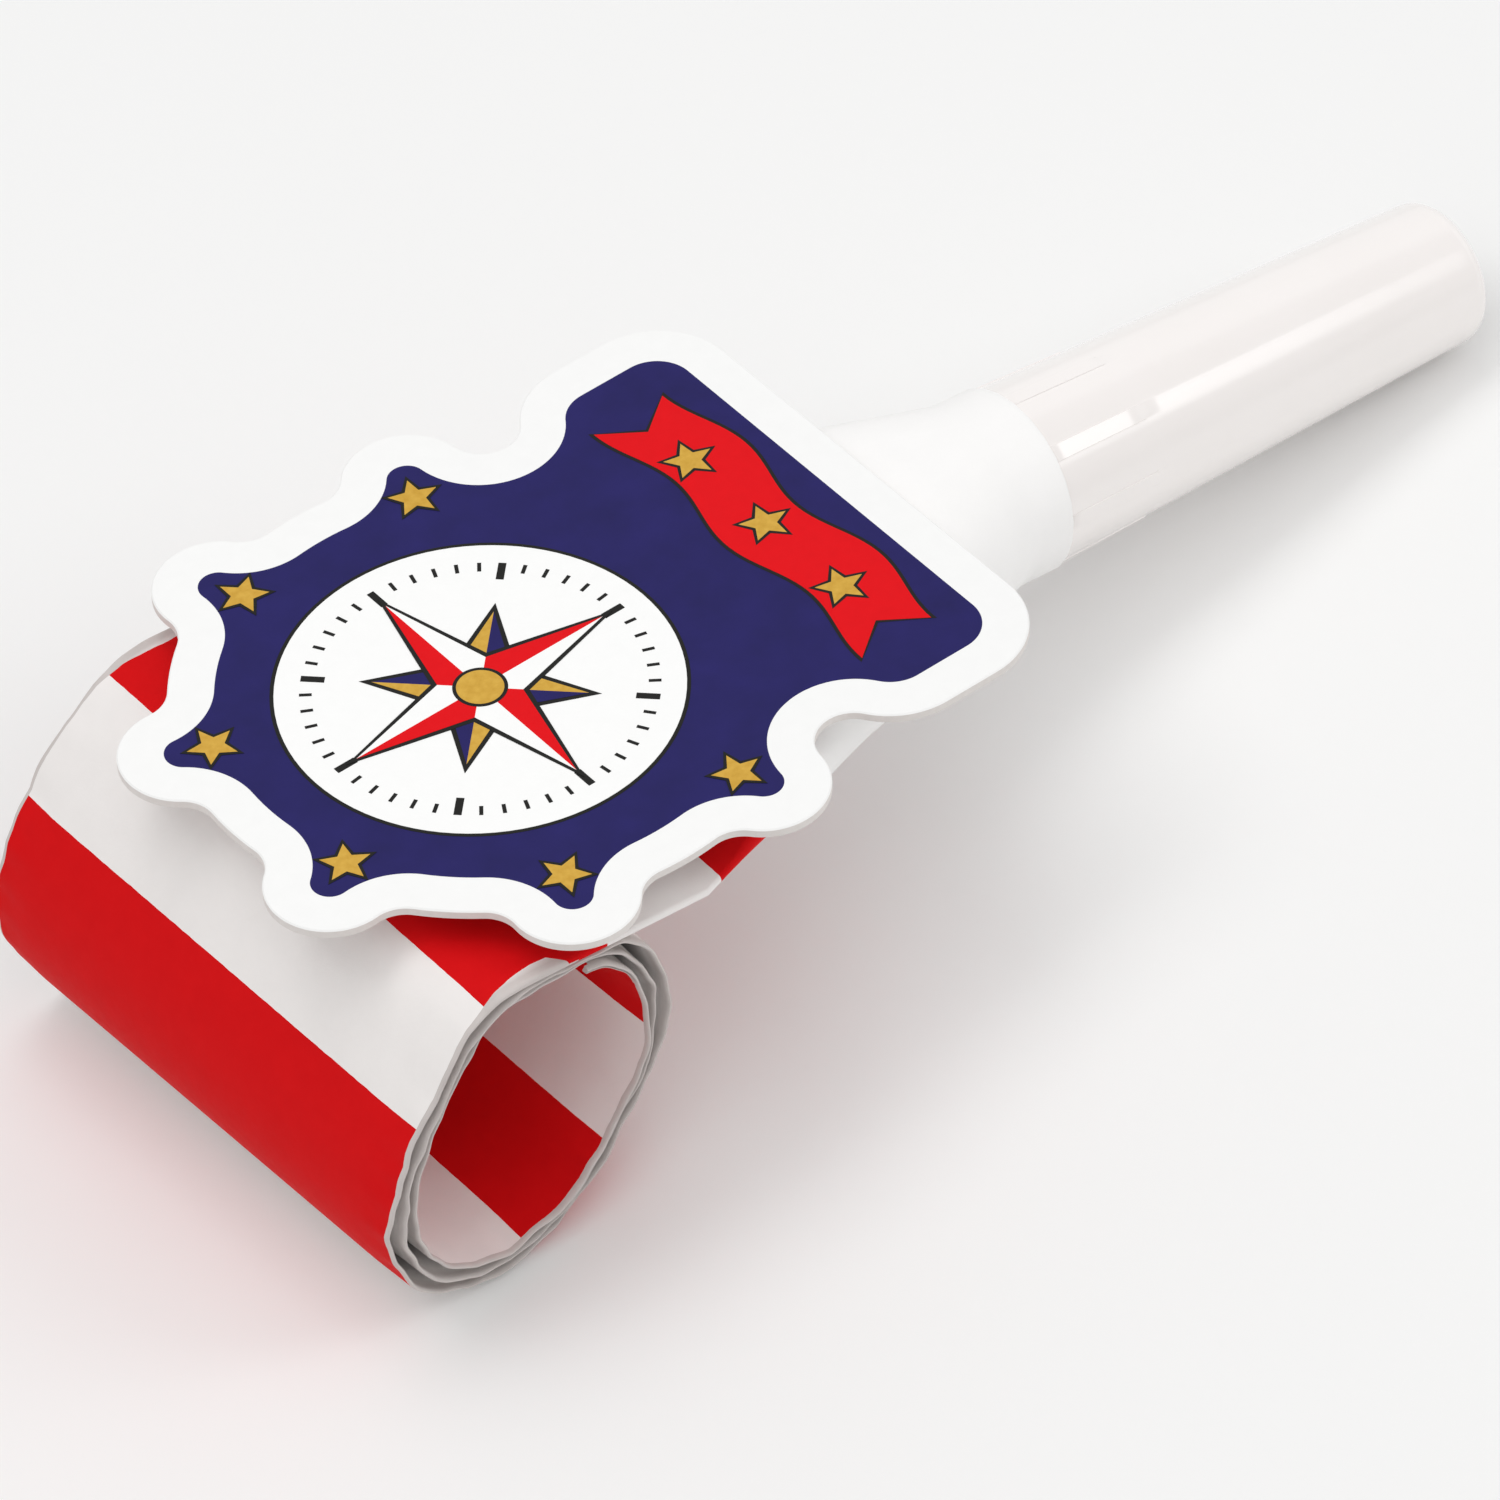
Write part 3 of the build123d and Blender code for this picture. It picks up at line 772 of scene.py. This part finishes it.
def sleeve_turn(number):
    """Degrees that the sleeves after a span reach, to close the gap there in the flat tube."""
    after = SPANS[number]
    lowest = min(outward(after, after.start, side * TUBE_WIDTH / 2) for side in (-1, 1))
    gap = max(0.0, -2 * math.sin(math.radians(SPAN_TURN / 2)) * lowest)
    return math.degrees(SLEEVE_SLOPE * (gap / 2 + SLEEVE_SPARE) / after.radius)


def sleeve_skins(span, start, end, joint):
    """Both faces of a sleeve in a neighbour's hollow, printed like the paper at the joint."""
    turns = np.linspace(start, end, SLEEVE_STEPS)
    skins = []
    for face_turns, wall in [(turns, SLEEVE_WALL), (turns[::-1], SLEEVE_WALL + SLEEVE_SHEET)]:
        rings, along, across, underside = paper_rings(span, face_turns, wall, SLEEVE_INSET)
        skins.append((rings, np.full(along.shape, along_roll(joint)), across, underside))
    return skins


def make_tube_span(number, span):
    """One length of paper tube, with sleeves that keep the tube closed at its neighbours."""
    turns = np.linspace(span.start, span.end, SPAN_STEPS)
    skins = [paper_rings(span, turns, 0.0)]
    if number < SPAN_COUNT:
        skins += sleeve_skins(SPANS[number], span.end, span.end + sleeve_turn(number), span.end)
    skins.append(paper_rings(span, turns[::-1], PAPER))
    if number > 1:
        reach = sleeve_turn(number - 1)
        skins += sleeve_skins(SPANS[number - 2], span.start - reach, span.start, span.start)[::-1]
    rings, along, across, underside = (np.concatenate(values) for values in zip(*skins))
    faces = ring_faces(len(rings), rings.shape[1], closed=True)
    name, body = f"tube_paper_{number:02d}", f"span_{number:02d}"
    piece = make_piece(name, rings, faces, PAPER_PRINT, body, 28)
    store_print(piece, along, across, underside)
    flatten_with_roll(piece)
    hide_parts(f"tube_span_{number:02d}")


def make_tip_fold(span):
    """Glued end of the tube, folded over on the inside."""
    lap = math.degrees(TIP_WALL / span.radius)
    turns = np.linspace(span.end - TIP_TAB_TURN, span.end + lap, TIP_TAB_STEPS)
    section = tube_section(0.0)
    section[:, 1] = TUBE_THICK + PAPER / 2 + (section[:, 1] - TUBE_TOP) * PAPER / TUBE_THICK
    across, depth = crumpled(turns, section)
    tab = on_span(span, turns[:, None], across, depth)
    end_turns = np.array([span.end, span.end + lap])
    across, depth = crumpled(end_turns, tube_section(0.0))
    wall = on_span(span, end_turns[:, None], across, depth)
    rings = np.concatenate([tab, wall])
    size = len(section)
    faces = capped_faces(len(tab), size) + capped_faces(2, size, len(tab) * size)
    body = f"span_{SPAN_COUNT:02d}"
    piece = make_piece("tip_paper", rings, faces, PAPER_PRINT, body, 50)
    along = along_roll(np.concatenate([turns, end_turns]))
    store_print(piece, *np.broadcast_arrays(along[:, None], section[:, 0], True))
    flatten_with_roll(piece)
    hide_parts("tip_fold")


def strip_section(side):
    """Corners of a recoil strip as (across, depth) below the tube's outer face."""
    middle, half = side * STRIP_SPREAD / 2, STRIP_WIDTH / 2
    bottom = TUBE_THICK - NECK_WALL
    corners = [(middle + half, bottom - STRIP_THICK), (middle + half, bottom),
               (middle - half, bottom), (middle - half, bottom - STRIP_THICK)]
    return np.array(corners)


def make_strip(word, side):
    """Curled springy strip inside the tube, one length for each span and a root in the flat run."""
    section = strip_section(side)
    xs = np.linspace(ROLL_X - STRIP_ROOT, ROLL_X, STRIP_ROOT_STEPS)
    root = np.array([[(x, across, TUBE_TOP - depth) for across, depth in section] for x in xs])
    faces = capped_faces(len(xs), len(section))
    piece = make_piece(f"recoil_{word}_root", root, faces, RECOIL_FILM, "horn")
    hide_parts(f"recoil_strip_{word}")
    for number, span in enumerate(SPANS, start=1):
        end = span.end - STRIP_TIP_TURN if number == SPAN_COUNT else span.end
        turns = np.linspace(span.start, end, STRIP_STEPS)
        rings = on_span(span, turns[:, None], section[None, :, 0], section[None, :, 1])
        faces = capped_faces(len(turns), len(section))
        name, body = f"recoil_{word}_{number:02d}", f"span_{number:02d}"
        piece = make_piece(name, rings, faces, RECOIL_FILM, body)
        flatten_with_roll(piece)


# Card: its outline is a chain of convex circles joined by small concave arcs or straight runs

def card_matrix():
    """Card frame to horn frame: x forward from the rear edge, z up from the underside."""
    rear_height = neck_size(CARD_REAR)[1] / 2 + CARD_REAR_GAP
    place = Matrix.Translation((EXPOSED + CARD_REAR, 0, rear_height))
    return place @ Matrix.Rotation(math.radians(CARD_TILT), 4, "Y")


CARD = np.array(card_matrix())


def on_card(points):
    points = np.asarray(points, float)
    return points @ CARD[:3, :3].T + CARD[:3, 3]


def fillet_centre(a, b, radius):
    """Middle of the concave arc that touches circle a and then circle b, on their right-hand side."""
    (ca, ra), (cb, rb) = a, b
    gap = np.subtract(cb, ca)
    length = np.hypot(*gap)
    reach_a, reach_b = ra + radius, rb + radius
    along = (length ** 2 + reach_a ** 2 - reach_b ** 2) / (2 * length)
    off = math.sqrt(reach_a ** 2 - along ** 2)
    forward = gap / length
    return np.array(ca) + along * forward + off * np.array([forward[1], -forward[0]])


def card_circles():
    """Convex circles of the outline, anticlockwise from the front: disc and lobes, then the foot."""
    disc = ((DISC_FORWARD, 0.0), DISC_RADIUS)
    circles = [disc]
    for turn in LOBE_TURNS:
        circles += [(polar_place(disc[0], LOBE_CENTRE, turn), LOBE_RADIUS), disc]
    circles.pop()  # the last lobe's hollow runs straight into the foot
    half = FOOT_WIDTH / 2 - FOOT_CORNER
    corners = [((FOOT_DEPTH - FOOT_CORNER, half), FOOT_CORNER), ((FOOT_CORNER, half), FOOT_CORNER)]
    upper = circles + corners
    lower = [((x, -y), r) for (x, y), r in reversed(upper)]
    return upper + lower[:-1]


def card_outline(inset=0.0):
    """Points of the card's outline taken in by an inset, anticlockwise."""
    circles = card_circles()
    touches = []
    for a, b in zip(circles, circles[1:] + circles[:1]):
        if a[1] == b[1]:
            side = np.subtract(b[0], a[0])
            touches.append((None, math.degrees(math.atan2(-side[0], side[1]))))
        else:
            touches.append((fillet_centre(a, b, CARD_CORNER), None))
    points = []
    for i, (middle, radius) in enumerate(circles):
        start = touch_turn(middle, touches[i - 1])
        end = touch_turn(middle, touches[i])
        end += 360 * math.ceil((start - end) / 360)
        points.append(swept(middle, radius - inset, start, end))
        corner = touches[i][0]
        if corner is not None:
            after = circles[(i + 1) % len(circles)][0]
            start, end = turn_of(corner, middle), turn_of(corner, after)
            end -= 360 * math.ceil((end - start) / 360)
            points.append(swept(corner, CARD_CORNER + inset, start, end)[1:-1])
    return np.concatenate(points)


def turn_of(middle, point):
    gap = np.subtract(point, middle)
    return math.degrees(math.atan2(gap[1], gap[0]))


def touch_turn(middle, touch):
    """Angle on a circle at which its neighbour's arc or straight run begins."""
    corner, straight = touch
    return straight if corner is None else turn_of(middle, corner)


def swept(middle, radius, start, end):
    count = max(3, math.ceil(abs(end - start) / OUTLINE_STEP) + 1)
    return arc_points(middle, radius, start, end, count)


def plate(outlines, low, high):
    """Points and faces of flat plates in the card's frame, one for each outline."""
    points, faces = [], []
    for outline in outlines:
        first, size = len(points), len(outline)
        points += [(x, y, low) for x, y in outline] + [(x, y, high) for x, y in outline]
        faces += capped_faces(2, size, first)
    return np.array(points), faces


def make_card():
    """Thick white card with slightly rounded cut edges."""
    soft = CARD_EDGE_ROUND
    levels = [(soft, 0.0), (0.0, soft), (0.0, CARD_THICK - soft), (soft, CARD_THICK)]
    rings = [np.insert(card_outline(inset), 2, z, axis=1) for inset, z in levels]
    size = len(rings[0])
    faces = capped_faces(len(rings), size)
    points = on_card(np.concatenate(rings))
    piece = make_piece("card_sheet", points, faces, CARD_WHITE, "horn", 30)
    piece.data.materials.append(CARD_CUT)
    cut_faces = range(size, 2 * size)
    for i in cut_faces:
        piece.data.polygons[i].material_index = 1
    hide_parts("card_topper")


def stamp(name, outlines, layer, material):
    """Printed shapes as thin plates on the card's face, later layers a little higher."""
    points, faces = plate(outlines, CARD_THICK - INK / 2, CARD_THICK + INK * layer)
    make_piece(name, on_card(points), faces, material, "horn")


def disc_outline(middle, radius, count=96):
    return arc_points(middle, radius, 0, 360 - 360 / count, count)


def star_outline(middle, outer, inner, points, turn=0.0):
    """Star with a number of points, one of them at the turn."""
    angles = np.radians(turn + np.arange(2 * points) * 180 / points)
    reach = np.where(np.arange(2 * points) % 2 == 0, outer, inner)
    return np.stack([middle[0] + reach * np.cos(angles), middle[1] + reach * np.sin(angles)], 1)


def half_point(middle, outer, inner, turn, half_step, side):
    """One half of a compass point: a triangle from the middle to the tip and a waist."""
    tip = polar_place(middle, outer, turn)
    waist = polar_place(middle, inner, turn + side * half_step)
    triangle = [middle, tip, waist]
    return np.array(triangle if side > 0 else triangle[::-1])


def polar_place(middle, reach, turn):
    angle = math.radians(turn)
    return (middle[0] + reach * math.cos(angle), middle[1] + reach * math.sin(angle))


def ribbon_outline(grow=0.0):
    """Waving ribbon with notched ends, across the foot of the card."""
    reach = RIBBON_REACH + grow
    across = np.linspace(reach, -reach, RIBBON_STEPS)
    wave = RIBBON_X + RIBBON_WAVE * np.cos(across * 2 * math.pi / RIBBON_REACH)
    front = np.stack([wave + RIBBON_HALF + grow, across], 1)
    back = np.stack([wave - RIBBON_HALF - grow, across], 1)[::-1]
    right_cut = [(wave[0], reach - RIBBON_NOTCH)]
    left_cut = [(wave[-1], RIBBON_NOTCH - reach)]
    return np.concatenate([front, left_cut, back, right_cut])[::-1]


def rose_halves(turns, outer, inner, side):
    """One half of each compass point at the given turns."""
    return [half_point(ROSE_MIDDLE, outer, inner, turn, 180 / len(turns), side) for turn in turns]


def tick_outlines():
    """Marks round the dial, some longer."""
    ticks = []
    for i in range(TICK_COUNT):
        angle = 2 * math.pi * i / TICK_COUNT
        out = np.array([math.cos(angle), math.sin(angle)])
        is_long = i % LONG_TICK_EVERY == 0
        half_width = np.array([-out[1], out[0]]) * (LINE if is_long else LINE / 2)
        near = TICK_OUTER - (LONG_TICK_LENGTH if is_long else TICK_LENGTH)
        ends = [near * out - half_width, TICK_OUTER * out - half_width,
                TICK_OUTER * out + half_width, near * out + half_width]
        ticks.append(np.array(ROSE_MIDDLE) + np.array(ends))
    return ticks


def make_print():
    """Nautical print: a compass rose on a white dial, a ribbon with stars, stars on the lobes."""
    stamp("print_field", [card_outline(FIELD_INSET)], 1, NAVY_INK)
    lobe_turns = [side * turn for turn in LOBE_TURNS for side in (1, -1)]
    spots = [(polar_place((DISC_FORWARD, 0), LOBE_STAR_REACH, turn), turn) for turn in lobe_turns]
    spots += [((RIBBON_X + RIBBON_WAVE * 0.5, y), 180) for y in RIBBON_STARS]
    stars = [star_outline(spot, *STAR_SIZE, STAR_POINTS, turn) for spot, turn in spots]
    star_edges = [star_outline(spot, *STAR_EDGE, STAR_POINTS, turn) for spot, turn in spots]
    dial_edge = disc_outline(ROSE_MIDDLE, ROSE_RADIUS + LINE)
    minor_edge = star_outline(ROSE_MIDDLE, *MINOR_EDGE, len(MINOR_TURNS), MINOR_TURNS[0])
    major_edge = star_outline(ROSE_MIDDLE, *MAJOR_EDGE, len(MAJOR_TURNS), MAJOR_TURNS[0])
    stamp("print_outlines", [dial_edge, ribbon_outline(LINE)], 2, BLACK_INK)
    stamp("print_dial", [disc_outline(ROSE_MIDDLE, ROSE_RADIUS)], 3, WHITE_INK)
    stamp("print_ribbon", [ribbon_outline()], 3, RED_INK)
    stamp("print_star_edges", star_edges, 4, BLACK_INK)
    stamp("print_stars", stars, 5, GOLD_INK)
    stamp("print_ticks", tick_outlines(), 4, BLACK_INK)
    stamp("print_rose_edges", [minor_edge], 5, BLACK_INK)
    stamp("print_rose_gold", rose_halves(MINOR_TURNS, *MINOR_SIZE, 1), 6, GOLD_INK)
    stamp("print_rose_navy", rose_halves(MINOR_TURNS, *MINOR_SIZE, -1), 6, NAVY_INK)
    stamp("print_points_edges", [major_edge], 7, BLACK_INK)
    stamp("print_points_red", rose_halves(MAJOR_TURNS, *MAJOR_SIZE, 1), 8, RED_INK)
    stamp("print_points_white", rose_halves(MAJOR_TURNS, *MAJOR_SIZE, -1), 8, WHITE_INK)
    stamp("print_boss_edge", [disc_outline(ROSE_MIDDLE, BOSS_EDGE)], 9, BLACK_INK)
    stamp("print_boss", [disc_outline(ROSE_MIDDLE, BOSS_RADIUS)], 10, GOLD_INK)


def make_pad(node, start):
    """Foam pad between the neck's sloping top and the card."""
    steps = np.linspace(-1, 1, PAD_POINTS)
    u, v = np.meshgrid(steps, steps, indexing="ij")
    x = EXPOSED + start + PAD_LENGTH / 2 * (1 + u * np.sqrt(1 - PAD_END_ROUND * v ** 6))
    y = PAD_WIDTH / 2 * v * np.sqrt(1 - PAD_SIDE_ROUND * u ** 6)
    low = np.vectorize(neck_top)(x, y)
    high = CARD[2, 3] + (x - CARD[0, 3]) * -math.tan(math.radians(CARD_TILT))
    middle_x = EXPOSED + start + PAD_LENGTH / 2
    grids = []
    for level in np.linspace(0, 1, PAD_LEVELS):
        swell = 1 + PAD_SWELL * math.sin(math.pi * level)
        z = low + (high - low) * level
        grids.append(np.stack([middle_x + (x - middle_x) * swell, y * swell, z], -1))
    points, faces = box_of_grids(grids)
    piece = make_piece(node.replace("foam", "soft"), points, faces, FOAM, "horn", 50)
    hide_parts(node)


def neck_top(x, y):
    """Height of the neck's upper face."""
    width, height = neck_size(x - EXPOSED)
    end = height / 2
    over = max(0.0, abs(y) - (width / 2 - end))
    return math.sqrt(max(end * end - over * over, 0.0))


def box_of_grids(grids):
    """Closed skin of a stack of square grids."""
    count = grids[0].shape[0]
    last = count - 1
    border = [(0, j) for j in range(count)] + [(i, last) for i in range(1, count)]
    border += [(last, j) for j in reversed(range(last))] + [(i, 0) for i in reversed(range(1, last))]
    top = len(grids) - 1
    points, index = [], {}
    for level, grid in enumerate(grids):
        outer = level in (0, top)
        cells = [(i, j) for i in range(count) for j in range(count)] if outer else border
        for i, j in cells:
            index[level, i, j] = len(points)
            points.append(grid[i, j])
    faces = []
    for i in range(last):
        for j in range(last):
            square = [(i, j), (i, j + 1), (i + 1, j + 1), (i + 1, j)]
            faces.append(tuple(index[0, a, b] for a, b in square))
            faces.append(tuple(index[top, a, b] for a, b in reversed(square)))
    for low in range(top):
        high = low + 1
        for (a, b), (c, d) in zip(border, border[1:] + border[:1]):
            faces.append((index[low, a, b], index[high, a, b], index[high, c, d], index[low, c, d]))
    return np.array(points), faces


# Stage

AIM = Vector(in_row([VIEW_AIM])[0])


def horn_direction(direction):
    return (HORN.to_3x3() @ Vector(direction)).normalized()


def make_camera():
    data = bpy.data.cameras.new("camera")
    data.lens = LENS
    data.sensor_width = SENSOR
    data.clip_start, data.clip_end = 0.05, 20.0
    camera = add_object("camera", data)
    axes = [horn_direction(d) for d in (VIEW_RIGHT, VIEW_UP, VIEW_BACK)]
    turn = Matrix(axes).transposed().to_4x4()
    place = AIM + axes[2] * VIEW_DISTANCE * MM
    camera.matrix_world = Matrix.Translation(place) @ turn
    bpy.context.scene.camera = camera


def make_lamp(name, direction, distance, sizes, energy):
    """Soft lamp with one side along the horn, in a direction of the camera's frame."""
    data = bpy.data.lights.new(name, "AREA")
    data.shape = "RECTANGLE"
    data.size, data.size_y = sizes
    data.energy = energy
    lamp = add_object(name, data)
    right, up, back = direction
    away = horn_direction(right * Vector(VIEW_RIGHT) + up * Vector(VIEW_UP) + back * Vector(VIEW_BACK))
    place = AIM + away * distance
    side = away.cross(horn_direction((1, 0, 0))).normalized()
    turn = Matrix((side.cross(away), side, away)).transposed().to_4x4()
    lamp.matrix_world = Matrix.Translation(place) @ turn


def make_world():
    """Even white surroundings: seen as white, and a soft light on the object."""
    world = bpy.data.worlds.new("studio")
    bpy.context.scene.world = world
    world.use_nodes = True
    nodes, links = world.node_tree.nodes, world.node_tree.links
    path = nodes.new("ShaderNodeLightPath")
    seen = path.outputs["Is Camera Ray"]
    for ray in ("Is Glossy Ray", "Is Transmission Ray"):
        either = nodes.new("ShaderNodeMath")
        either.operation = "MAXIMUM"
        links.new(seen, either.inputs[0])
        links.new(path.outputs[ray], either.inputs[1])
        seen = either.outputs[0]
    level = nodes.new("ShaderNodeMapRange")
    level.inputs["To Min"].default_value = WORLD_LIGHT
    level.inputs["To Max"].default_value = 1.0
    links.new(seen, level.inputs["Value"])
    links.new(level.outputs["Result"], nodes["Background"].inputs["Strength"])
    nodes["Background"].inputs["Color"].default_value = (1.0, 1.0, 1.0, 1.0)


def make_floor():
    """Pale floor under the horn, at the height that it rests on."""
    mesh = bpy.data.meshes.new("floor")
    corners = [(x * FLOOR_HALF, y * FLOOR_HALF, 0) for x, y in ((-1, -1), (1, -1), (1, 1), (-1, 1))]
    mesh.from_pydata(corners, [], [(0, 1, 2, 3)])
    paint = Paint("floor_paint", Specular_IOR_Level=0.1)
    paint.colour(mottled(paint, 4.0, (0.94, 0.94, 0.935, 1), (0.92, 0.92, 0.915, 1)))
    paint.rough(0.9)
    mesh.materials.append(paint.material)
    floor = add_object("floor", mesh)


make_mouthpiece()
dress_reed()
make_neck()
for span_number, span_arc in enumerate(SPANS, start=1):
    make_tube_span(span_number, span_arc)
make_tip_fold(SPANS[-1])
for strip_word, strip_side in (("left", 1), ("right", -1)):
    make_strip(strip_word, strip_side)
make_card()
make_print()
for pad_node, pad_start in PAD_STARTS.items():
    make_pad(pad_node, pad_start)
make_camera()
for lamp_name, lamp_values in LAMPS.items():
    make_lamp(lamp_name, *lamp_values)
make_world()
make_floor()
bpy.context.scene.view_settings.view_transform = "Standard"
